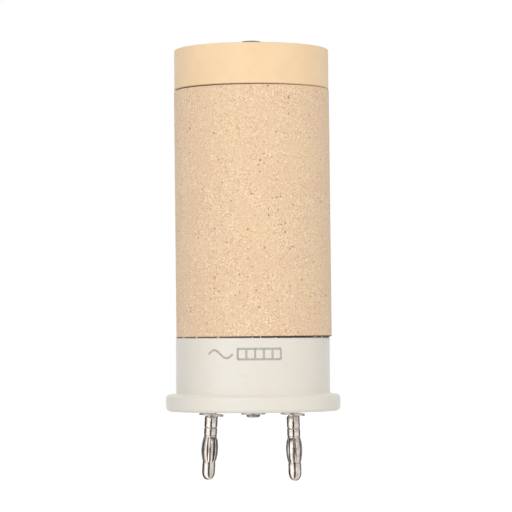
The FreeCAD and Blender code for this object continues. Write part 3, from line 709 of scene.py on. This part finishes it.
def threaded_bar(radius, foot, top, thread_foot):
    """A closed bar, plain from its foot to the thread's foot and threaded from there to its top."""
    rows = max(2, round((top - thread_foot) / THREAD_PITCH * ROWS_PER_PITCH))
    heights = [foot] if foot < thread_foot else []
    heights += [thread_foot + (top - thread_foot) * row / rows for row in range(rows + 1)]
    rings = []
    for height in heights:
        from_top = (top - height) / THREAD_RUN_OUT
        fade = max(0.0, min((height - thread_foot) / THREAD_PITCH, from_top, 1.0))
        end_taper = max(0.0, 1 - from_top) * THREAD_DEPTH if height > thread_foot else 0.0
        ring = []
        for step in range(THREAD_SEGMENTS):
            turn = 2 * math.pi * step / THREAD_SEGMENTS
            tooth = abs(((height / THREAD_PITCH - step / THREAD_SEGMENTS) % 1) * 2 - 1)
            reach = radius - THREAD_DEPTH * tooth * fade - end_taper
            ring.append(around(reach, turn, height))
        rings.append(ring)
    return tube(rings)


def joined(*meshes):
    """Several closed shapes as one mesh."""
    whole = bmesh.new()
    for mesh in meshes:
        data = mesh_data("part_of_piece", mesh)
        whole.from_mesh(data)
        bpy.data.meshes.remove(data)
    return whole


print("thread pitch", THREAD_PITCH / MM, "mm")

# %% [markdown]
# ## The plug pins
# A pin is turned from bar: a stem with a fine ring groove, a thinner neck that the cage sits on, and a
# bullet tip. Above the flange it is threaded for its nut. The outline is drawn once, corner by corner, and
# eased, so that each edge catches a thin line of light as polished metal does.

# %% Make the plug pins
PIN_SEGMENTS = 72
PIN_EASING = 0.12 * MM
GROOVE_LEVEL = -4.6 * MM
GROOVE_HALF_WIDTH = 0.22 * MM
GROOVE_DEPTH = 0.17 * MM
TIP_ROUNDING_START = -17.0 * MM
TIP_FLAT = 0.3 * MM
TIP_STEPS = 10
TIP_BLUNTNESS = 0.95
SHOULDER_LEVELS = {"left": -1.48 * MM, "right": -1.13 * MM}
SHANK_TOPS = {"left": 10.18 * MM, "right": 10.39 * MM}
SHANK_ROOT = 0.5 * MM
SHANK_THREAD_FOOT = 4.8 * MM


def bullet_tip():
    """Points of the rounded end, from the tip's side to its small flat."""
    points = []
    for step in range(TIP_STEPS + 1):
        turn = math.pi / 2 * step / TIP_STEPS
        reach = TIP_FLAT + (TIP_RADIUS - TIP_FLAT) * math.cos(turn) ** TIP_BLUNTNESS
        height = TIP_ROUNDING_START + (PIN_END - TIP_ROUNDING_START) * math.sin(turn)
        points.append((reach, height))
    return points


for side in PIN_LEANS:
    shoulder = SHOULDER_LEVELS[side]
    stem_corners = [
        (0.0, shoulder, 0),
        (STEM_RADIUS, shoulder, 0),
        (STEM_RADIUS, GROOVE_LEVEL + GROOVE_HALF_WIDTH, 0),
        (STEM_RADIUS - GROOVE_DEPTH, GROOVE_LEVEL, 0),
        (STEM_RADIUS, GROOVE_LEVEL - GROOVE_HALF_WIDTH, 0),
        (STEM_RADIUS, CAGE_TOP, 0),
        (NECK_RADIUS, CAGE_TOP, 0),
        (NECK_RADIUS, CAGE_END, 0),
        (TIP_RADIUS, CAGE_END, 0),
    ]
    outline = [(point.x, point.y) for point in eased(stem_corners, PIN_EASING, steps=3, closed=False)]
    outline += bullet_tip() + [(0.0, PIN_END)]
    stem = turned(outline, PIN_SEGMENTS)
    shank = threaded_bar(SHANK_RADIUS, shoulder - SHANK_ROOT, SHANK_TOPS[side], SHANK_THREAD_FOOT)
    pin = joined(stem, shank)
    nickel = metals["bright_nickel"]
    place = pin_place(side)
    finished_piece(f"turned_pin_{side}", pin, nickel, [f"plug_pin_{side}"], placed=place, crease=50)

# %% [markdown]
# ## The spring cages
# A cage starts as flat sheet with slots cut in it, is rolled into a tube that stays open along one seam,
# and is pressed so that the strips between the slots bulge. The mesh is made the same way: a grid of rows
# and columns with no faces where the slots and the seam are, rolled to the radius that each row has. No two
# leaves bulge quite alike, and each cage is turned a little differently about its pin.

# %% Roll the spring cages
LEAVES = 8
LEAF_WIDTH = 1.12 * MM
LEAF_COLUMNS = 5
LEAF_ROWS = 26
LEAF_FULLNESS = 0.7
LEAF_SWELLS = (0.9, 1.03)
LEAF_TURNS = {"left": 12.0, "right": 27.0}
BAND = 0.4 * MM
BAND_RADIUS = NECK_RADIUS + 0.27 * MM
BULGE_RADIUS = 2.425 * MM
CAGE_PLAY = 0.05 * MM


def cage_rows():
    """Heights down the cage, each with how far along its leaf it lies: 0 at the top and 1 at the foot."""
    top = CAGE_TOP - CAGE_PLAY
    end = CAGE_END + CAGE_PLAY
    rows = [(top, 0.0), (top - BAND / 2, 0.0)]
    for step in range(LEAF_ROWS + 1):
        along = step / LEAF_ROWS
        rows.append((top - BAND + (end - top + 2 * BAND) * along, along))
    return rows + [(end + BAND / 2, 1.0), (end, 1.0)]


def spring_cage(side):
    """The rolled and bulged sheet, as faces without thickness."""
    chance = random.Random(f"cage {side}")
    swell = [chance.uniform(*LEAF_SWELLS) for _ in range(LEAVES)]
    mesh = bmesh.new()
    rows = cage_rows()
    grid = []
    for height, along in rows:
        ring = []
        for leaf in range(LEAVES):
            lift = max(0.0, math.sin(math.pi * along)) ** LEAF_FULLNESS * swell[leaf]
            radius = BAND_RADIUS + (BULGE_RADIUS - BAND_RADIUS) * lift
            middle = math.radians(LEAF_TURNS[side]) + 2 * math.pi * leaf / LEAVES
            for column in range(LEAF_COLUMNS):
                turn = middle + (column / (LEAF_COLUMNS - 1) - 0.5) * LEAF_WIDTH / radius
                ring.append(mesh.verts.new(around(radius, turn, height)))
        grid.append(ring)
    columns = LEAVES * LEAF_COLUMNS
    for row in range(len(rows) - 1):
        in_band = rows[row][1] == rows[row + 1][1] or row in (1, len(rows) - 3)
        for column in range(columns):
            is_slot = column % LEAF_COLUMNS == LEAF_COLUMNS - 1
            is_seam = column == columns - 1
            if is_seam or (is_slot and not in_band):
                continue
            upper, lower = grid[row], grid[row + 1]
            after = (column + 1) % columns
            mesh.faces.new((upper[column], lower[column], lower[after], upper[after]))
    return mesh


print("a cage has", LEAVES, "leaves and", len(cage_rows()), "rows")

# %% [markdown]
# So far the cage has no thickness. A Solidify modifier gives it that of the sheet, inwards, so that the
# size on the outside stays. A Bevel modifier then eases the edges that the slots were cut with.

# %% Make the spring cages
SHEET = 0.2 * MM
SHEET_EASING = 0.04 * MM

for side in PIN_LEANS:
    rolled = spring_cage(side)
    nickel = metals["drawn_nickel_sheet"]
    replaced = [f"contact_spring_{side}"]
    place = pin_place(side)
    cage = finished_piece(f"rolled_cage_{side}", rolled, nickel, replaced, placed=place, crease=50)
    thicken = cage.modifiers.new("sheet thickness", "SOLIDIFY")
    thicken.thickness = SHEET
    thicken.offset = -1.0
    ease = cage.modifiers.new("rolled edges", "BEVEL")
    ease.width = SHEET_EASING
    ease.segments = 2
    ease.limit_method = "ANGLE"
    ease.angle_limit = math.radians(60)

# %% [markdown]
# ## The tie rod
# One long rod holds base, cores and cap together. Its lower end is upset into a low domed head, and its
# upper end is threaded for the nut on the cap. Head and rod are two closed shapes that overlap a little,
# which is enough for a piece that is only looked at.

# %% Make the tie rod
WASHER_RISE = 0.68 * MM
HEAD_HEIGHT = 0.8 * MM
HEAD_RADIUS = 2.0 * MM
HEAD_SHOULDER_RADIUS = 1.95 * MM
HEAD_SHOULDER_HEIGHT = 0.25 * MM
HEAD_FLAT_RADIUS = 1.5 * MM
HEAD_EASING = 0.25 * MM
HEAD_SEGMENTS = 48
ROD_OVERLAP = 0.3 * MM
ROD_ABOVE_CAP = 2.6 * MM
ROD_THREAD = 12 * MM

head_seat = UNDERSIDE - BOSS_HEIGHT - WASHER_RISE
head_end = head_seat - HEAD_HEIGHT
rod_top = CAP_TOP + ROD_ABOVE_CAP
head_corners = [
    (0, head_seat, 0),
    (HEAD_RADIUS, head_seat, 0),
    (HEAD_SHOULDER_RADIUS, head_end + HEAD_SHOULDER_HEIGHT, 0),
    (HEAD_FLAT_RADIUS, head_end, 0),
    (0, head_end, 0),
]
head_mesh = turned(eased(head_corners, HEAD_EASING, closed=False), HEAD_SEGMENTS)
rod_mesh = threaded_bar(SHANK_RADIUS, head_seat - ROD_OVERLAP, rod_top, rod_top - ROD_THREAD)
tie_rod_mesh = joined(head_mesh, rod_mesh)
finished_piece("riveted_tie_rod", tie_rod_mesh, metals["turned_steel"], ["tie_rod"], crease=50)

# %% [markdown]
# ## The windings
# Two lengths of resistance wire heat the air. Each is one continuous wire: a coil up one channel, over a
# web at the top, down the next channel, and so on through half of the honeycomb, with a straight cold end
# at either side. So the mesh follows the wire's real path from end to end. First comes the route from
# channel to channel, half of each ring in turn from the outside in, so that each step goes to a neighbour.

# %% The wire's route
CHANNEL_PITCH = 5.3 * MM
RINGS = 3


def winding_route(facing):
    """Channels that a winding visits in order: facing is 1 for the back half and -1 for the front half."""
    route = []
    for ring in range(RINGS, 0, -1):
        half = []
        for side in range(3):
            start = math.radians(180 - 60 * side)
            along = math.radians(60 - 60 * side)
            for step in range(ring):
                x = ring * math.cos(start) + step * math.cos(along)
                y = ring * math.sin(start) + step * math.sin(along)
                half.append(Vector((x, y, 0)) * facing * CHANNEL_PITCH)
        if (RINGS - ring) % 2:
            half.reverse()
        route += half
    return route


print("each winding visits", len(winding_route(1)), "channels")

# %% [markdown]
# A coil is a helix that starts on the side facing the channel the wire comes from and ends on the side
# facing the one it goes to, so its number of turns is a whole number and a bit. Small arches bridge the web
# from one coil to the next, at the top where the wire has come up and at the foot where it has come down.

# %% Coils and bridges
COIL_RADIUS = 1.4 * MM
COIL_FOOT = CORES_FOOT + 0.6 * MM
COIL_TOP = CAP_TOP - 3.0 * MM
TURN_RISE = 1.75 * MM
STEPS_PER_TURN = 13
BRIDGE_STEPS = 8
BRIDGE_FULLNESS = 0.7


def coil_path(centre, start_facing, end_facing, rising):
    """Points of one coil, from the side of one neighbour to the side of the next."""
    start = math.atan2(start_facing.y, start_facing.x)
    sense = 1 if rising else -1
    extra = ((math.atan2(end_facing.y, end_facing.x) - start) * sense) % (2 * math.pi)
    whole_turns = round((COIL_TOP - COIL_FOOT) / TURN_RISE)
    sweep = 2 * math.pi * whole_turns + extra
    steps = round(sweep / (2 * math.pi) * STEPS_PER_TURN)
    first, last = (COIL_FOOT, COIL_TOP) if rising else (COIL_TOP, COIL_FOOT)
    points = []
    for step in range(steps + 1):
        share = step / steps
        turn = start + sense * sweep * share
        points.append(centre + around(COIL_RADIUS, turn, first + (last - first) * share))
    return points


def bridge_path(start, end, rise):
    """Points of the arch between two coils, its ends left out."""
    points = []
    for step in range(1, BRIDGE_STEPS):
        turn = math.pi * step / BRIDGE_STEPS
        share = (1 - math.cos(turn)) / 2
        points.append(start.lerp(end, share) + Vector((0, 0, rise * math.sin(turn) ** BRIDGE_FULLNESS)))
    return points


print("a coil has", round((COIL_TOP - COIL_FOOT) / TURN_RISE), "whole turns")

# %% [markdown]
# The cold ends run from the terminals' barrels up and across to the first and the last coil. Both wires
# share the two barrels, where they lie side by side. With the ends in place, a winding's path is complete.

# %% The whole path of a winding
BARRELS = {"left": Vector((-11.21, -5.2, 5.07)) * MM, "right": Vector((10.95, 5.2, 4.9)) * MM}
WIRE_ASIDE = 0.45 * MM
DEPTH_IN_BARREL = 1.0 * MM
RISE_FROM_BARREL = 4.0 * MM
COLD_LENGTH_BELOW_CORES = 4.0 * MM
COLD_BEND = 2.0 * MM
FOOT_BRIDGE = -1.25 * MM
TOP_BRIDGE = 1.45 * MM


def cold_end(coil_point, mouth):
    """Points from a terminal's barrel up to a coil's foot."""
    below_coil = Vector((coil_point.x, coil_point.y, CORES_FOOT - COLD_LENGTH_BELOW_CORES))
    in_barrel = mouth - Vector((0, 0, DEPTH_IN_BARREL))
    over_barrel = mouth + Vector((0, 0, RISE_FROM_BARREL))
    run = eased([in_barrel, over_barrel, below_coil, coil_point], COLD_BEND, steps=6, closed=False)
    return run[:-1]


def winding_path(facing):
    """The whole wire of one winding, from one terminal to the other."""
    route = winding_route(facing)
    near, far = ("left", "right") if facing > 0 else ("right", "left")
    aside = Vector((WIRE_ASIDE, 0, 0)) * (-1 if near == "left" else 1)
    near_mouth = BARRELS[near] + aside
    far_mouth = BARRELS[far] + aside
    path = []
    for index, centre in enumerate(route):
        before = route[index - 1] if index else Vector((near_mouth.x, near_mouth.y, 0))
        after = route[index + 1] if index + 1 < len(route) else Vector((far_mouth.x, far_mouth.y, 0))
        rising = index % 2 == 0
        coil = coil_path(centre, before - centre, after - centre, rising)
        if index:
            path += bridge_path(path[-1], coil[0], FOOT_BRIDGE if rising else TOP_BRIDGE)
        else:
            path += cold_end(coil[0], near_mouth)
        path += coil
    return path + cold_end(path[-1], far_mouth)[::-1]


print("front wire has", len(winding_path(-1)), "points")

# %% [markdown]
# A round wire is a small ring of points carried along that path. Each ring is turned only as much as the
# path bends, so that the wire doesn't twist. This is quicker and lighter than a curve with a bevel, and
# gives one closed mesh for each winding.

# %% Make the windings
WIRE_RADIUS = 0.35 * MM
WIRE_SIDES = 5


def wire_mesh(path):
    """A closed round wire along a path."""
    across = Vector((1, 0, 0))
    rings = []
    for index, point in enumerate(path):
        ahead = (path[min(index + 1, len(path) - 1)] - path[max(index - 1, 0)]).normalized()
        across = (across - ahead * across.dot(ahead)).normalized()
        beside = ahead.cross(across)
        ring = []
        for step in range(WIRE_SIDES):
            turn = 2 * math.pi * step / WIRE_SIDES
            outward = across * math.cos(turn) + beside * math.sin(turn)
            ring.append(point + outward * WIRE_RADIUS)
        rings.append(ring)
    return tube(rings)


for side, facing in (("front", -1), ("back", 1)):
    wire = wire_mesh(winding_path(facing))
    skin = metals["heated_resistance_wire"]
    finished_piece(f"coiled_wire_{side}", wire, skin, [f"winding_{side}"], crease=80)

# %% [markdown]
# ## The printed signs
# The collar carries a small grey print of two plain signs that any electrician knows: the wave for
# alternating current and the barred box for a heater. They are drawn as thin ribbons on a flat sheet, whose
# width is then wrapped round the collar, so that the ink follows the curve.

# %% Helpers for the signs
INK_STROKE = 0.58 * MM
INK_LIFT = 0.012 * MM
FRONT = math.radians(-90)


def ribbon(mesh, points):
    """A ribbon along points on the flat sheet, where x runs round the collar and y up it."""
    pairs = []
    for index, point in enumerate(points):
        earlier = Vector(points[max(index - 1, 0)])
        later = Vector(points[min(index + 1, len(points) - 1)])
        ahead = (later - earlier).normalized()
        beside = Vector((-ahead.y, ahead.x)) * INK_STROKE / 2
        pair = []
        for way in (1, -1):
            pair.append(mesh.verts.new((point[0] + way * beside.x, point[1] + way * beside.y, 0)))
        pairs.append(pair)
    for pair, following in zip(pairs, pairs[1:]):
        mesh.faces.new((pair[0], pair[1], following[1], following[0]))


def wrapped_on_collar(mesh):
    """Rolls the flat sheet round the collar, with its middle at the front."""
    radius = COLLAR_RADIUS + INK_LIFT
    for vertex in mesh.verts:
        vertex.co = around(radius, vertex.co.x / radius + FRONT, vertex.co.y)
    return mesh


def straight(start, end, steps=12):
    """Points along a straight stroke, close enough together to wrap smoothly."""
    return [Vector(start).lerp(Vector(end), step / steps) for step in range(steps + 1)]


print("ink stroke", INK_STROKE / MM, "mm")

# %% [markdown]
# The wave is one full swing of a sine, and the box is two long strokes with six bars between them. The ink
# is thin, so its grey varies a little.

# %% Make the printed signs
SIGNS_LEFT = -12.9 * MM
SIGNS_RIGHT = 7.9 * MM
SIGNS_FOOT = 10.0 * MM
SIGNS_TOP = 12.9 * MM
WAVE_RIGHT = -5.6 * MM
WAVE_STEPS = 40
WAVE_SWING = 0.38
BOX_LEFT = -4.2 * MM
BARS = 6
INK_THICKNESS = 0.02 * MM

signs = bmesh.new()
wave = []
for step in range(WAVE_STEPS + 1):
    along = step / WAVE_STEPS
    swing = math.sin(2 * math.pi * along) * WAVE_SWING
    x = SIGNS_LEFT + (WAVE_RIGHT - SIGNS_LEFT) * along
    y = (SIGNS_FOOT + SIGNS_TOP) / 2 + swing * (SIGNS_TOP - SIGNS_FOOT)
    wave.append((x, y))
ribbon(signs, wave)
for height in (SIGNS_FOOT, SIGNS_TOP):
    ribbon(signs, straight((BOX_LEFT, height), (SIGNS_RIGHT, height)))
for bar in range(BARS):
    across = BOX_LEFT + (SIGNS_RIGHT - BOX_LEFT) * bar / (BARS - 1)
    ribbon(signs, straight((across, SIGNS_FOOT), (across, SIGNS_TOP), steps=4))

ink_finish = Finish("grey_ink", roughness=0.6)
thin_ink = ink_finish.spread(ink_finish.cloud(size=0.4, detail=3.0), 0.4, 0.75)
ink_finish.colour(ink_finish.blend(thin_ink, paint(178, 172, 164), paint(208, 202, 193)))
printed = finished_piece("printed_signs", wrapped_on_collar(signs), ink_finish)
ink_thickness = printed.modifiers.new("ink thickness", "SOLIDIFY")
ink_thickness.thickness = INK_THICKNESS

# %% [markdown]
# ## The floor
# The element is shown against plain white. A wide white floor lies some way below the pins and melts into a
# white world. It glows a little, but only for rays that look at it directly or in a reflection, so that it
# looks white without lighting the element from below.

# %% Floor
FLOOR_LEVEL = cad_low.z - 60 * MM
FLOOR_RADIUS = 3.0
FLOOR_GLOW = 0.5
WHITE = (1, 1, 1, 1)

floor_mesh = bmesh.new()
bmesh.ops.create_circle(floor_mesh, cap_ends=True, segments=96, radius=FLOOR_RADIUS)
floor = shown("studio_floor", mesh_data("studio_floor", floor_mesh))
floor.location.z = FLOOR_LEVEL


def seen_directly(tree):
    """1 for rays from the camera and for reflections, 0 for the light that falls on things."""
    path = tree.nodes.new("ShaderNodeLightPath")
    either = tree.nodes.new("ShaderNodeMath")
    either.operation = "MAXIMUM"
    tree.links.new(path.outputs["Is Camera Ray"], either.inputs[0])
    tree.links.new(path.outputs["Is Glossy Ray"], either.inputs[1])
    return either.outputs[0]


floor_finish = Finish("white_floor", roughness=0.9)
floor_finish.shader.inputs["Base Color"].default_value = (0.9, 0.9, 0.9, 1)
floor_finish.shader.inputs["Emission Color"].default_value = WHITE
glow = floor_finish.maths("MULTIPLY", seen_directly(floor_finish.tree), FLOOR_GLOW)
floor_finish.tree.links.new(glow, floor_finish.shader.inputs["Emission Strength"])
floor.data.materials.append(floor_finish.material)
print("floor", round((cad_low.z - FLOOR_LEVEL) / MM), "mm below the pins")

# %% [markdown]
# ## Light
# The light of the photograph is soft and comes from the camera's side. A white world gives even light from
# all round: full white to the eye, and somewhat weaker where it lights things. One large lamp in front
# gives the round sides their gentle fall-off.

# %% World and lamp
AMBIENT = 0.66
LIT_POINT = Vector((0, 0, 0.04))

world = bpy.data.worlds.new("white_studio")
world.use_nodes = True
background = world.node_tree.nodes["Background"]
background.inputs["Color"].default_value = WHITE
strength = world.node_tree.nodes.new("ShaderNodeMapRange")
strength.inputs["To Min"].default_value = AMBIENT
strength.inputs["To Max"].default_value = 1.0
world.node_tree.links.new(seen_directly(world.node_tree), strength.inputs["Value"])
world.node_tree.links.new(strength.outputs[0], background.inputs["Strength"])
bpy.context.scene.world = world


def softbox(name, place, size, power):
    """A rectangular lamp that points at the middle of the element."""
    data = bpy.data.lights.new(name, "AREA")
    data.shape = "RECTANGLE"
    data.size, data.size_y = size
    data.energy = power
    lamp = shown(name, data)
    lamp.location = place
    lamp.rotation_euler = (LIT_POINT - Vector(place)).to_track_quat("-Z", "Y").to_euler()


softbox("front_softbox", place=(0.0, -0.95, 0.35), size=(0.75, 0.7), power=3.8)
print("world at", AMBIENT, "and one lamp in front")

# %% [markdown]
# ## Cards for the nickel
# Polished metal shows what stands round it, and a white room would make it plain white. Four cards that
# only reflections see give the nickel its black and white streaks, as cards do in a studio. Each is bent:
# its foot lies on the floor, narrow at the element and wide at the card, and its back stands upright.

# %% Reflection cards
CARD_DISTANCE = 0.35
CARD_HEIGHT = 0.4
CARD_START = 0.03
CARD_LIFT = 1 * MM


def card(name, azimuth, width, shade, glow=0.0):
    """A bent card that only reflections see, in a direction counted from the camera's, in degrees."""
    turn = math.radians(azimuth)
    outward = around(1, turn + FRONT, 0)
    aside = around(width / 2, turn, 0)
    lift = Vector((0, 0, FLOOR_LEVEL + CARD_LIFT))
    bent = bmesh.new()
    pairs = []
    for reach, up in ((CARD_START, 0), (1, 0), (1, CARD_HEIGHT)):
        middle = outward * CARD_DISTANCE * reach + lift + Vector((0, 0, up))
        pairs.append([bent.verts.new(middle - aside * reach), bent.verts.new(middle + aside * reach)])
    for pair, following in zip(pairs, pairs[1:]):
        bent.faces.new((pair[0], pair[1], following[1], following[0]))
    board = bpy.data.materials.new(name)
    board.use_nodes = True
    shader = board.node_tree.nodes["Principled BSDF"]
    shader.inputs["Base Color"].default_value = (shade, shade, shade, 1)
    shader.inputs["Emission Color"].default_value = WHITE
    shader.inputs["Emission Strength"].default_value = glow
    made = shown(name, mesh_data(name, bent))
    made.data.materials.append(board)
    made.visible_camera = False
    made.visible_diffuse = False
    made.visible_shadow = False


card("camera_side_card", azimuth=2, width=0.17, shade=0.01)
card("left_back_card", azimuth=-110, width=0.28, shade=0.01)
card("bright_left_card", azimuth=-46, width=0.22, shade=0.8, glow=1.5)
card("grey_right_card", azimuth=118, width=0.2, shade=0.1)
print("four cards stand round the element")

# %% [markdown]
# ## Camera
# The curves of the rims in the photograph tell how high the camera stood and how far away: nearly level
# with the sleeve's foot, and about three quarters of a metre off. The lens follows from the angle that the
# picture spans, and the camera is rolled by a third of a degree.

# %% Camera
EYE_DISTANCE = 751 * MM
EYE_HEIGHT = 16.8 * MM
AIM = Vector((1.04 * MM, 0, 39.09 * MM))
HALF_VIEW = math.radians(5.523)
ROLL = math.radians(0.34)
SENSOR_WIDTH = 36

camera_data = bpy.data.cameras.new("camera")
camera_data.sensor_width = SENSOR_WIDTH
camera_data.lens = SENSOR_WIDTH / 2 / math.tan(HALF_VIEW)
camera_data.clip_start = 0.05
camera_data.clip_end = 20
camera = shown("camera", camera_data)
camera.location = Vector((AIM.x, -EYE_DISTANCE, EYE_HEIGHT))
look = (AIM - camera.location).to_track_quat("-Z", "Y")
camera.rotation_euler = (look.to_matrix() @ Matrix.Rotation(-ROLL, 3, "Z")).to_euler()
bpy.context.scene.camera = camera
bpy.context.scene.view_settings.view_transform = "Standard"
print("lens", round(camera_data.lens, 1), "mm")
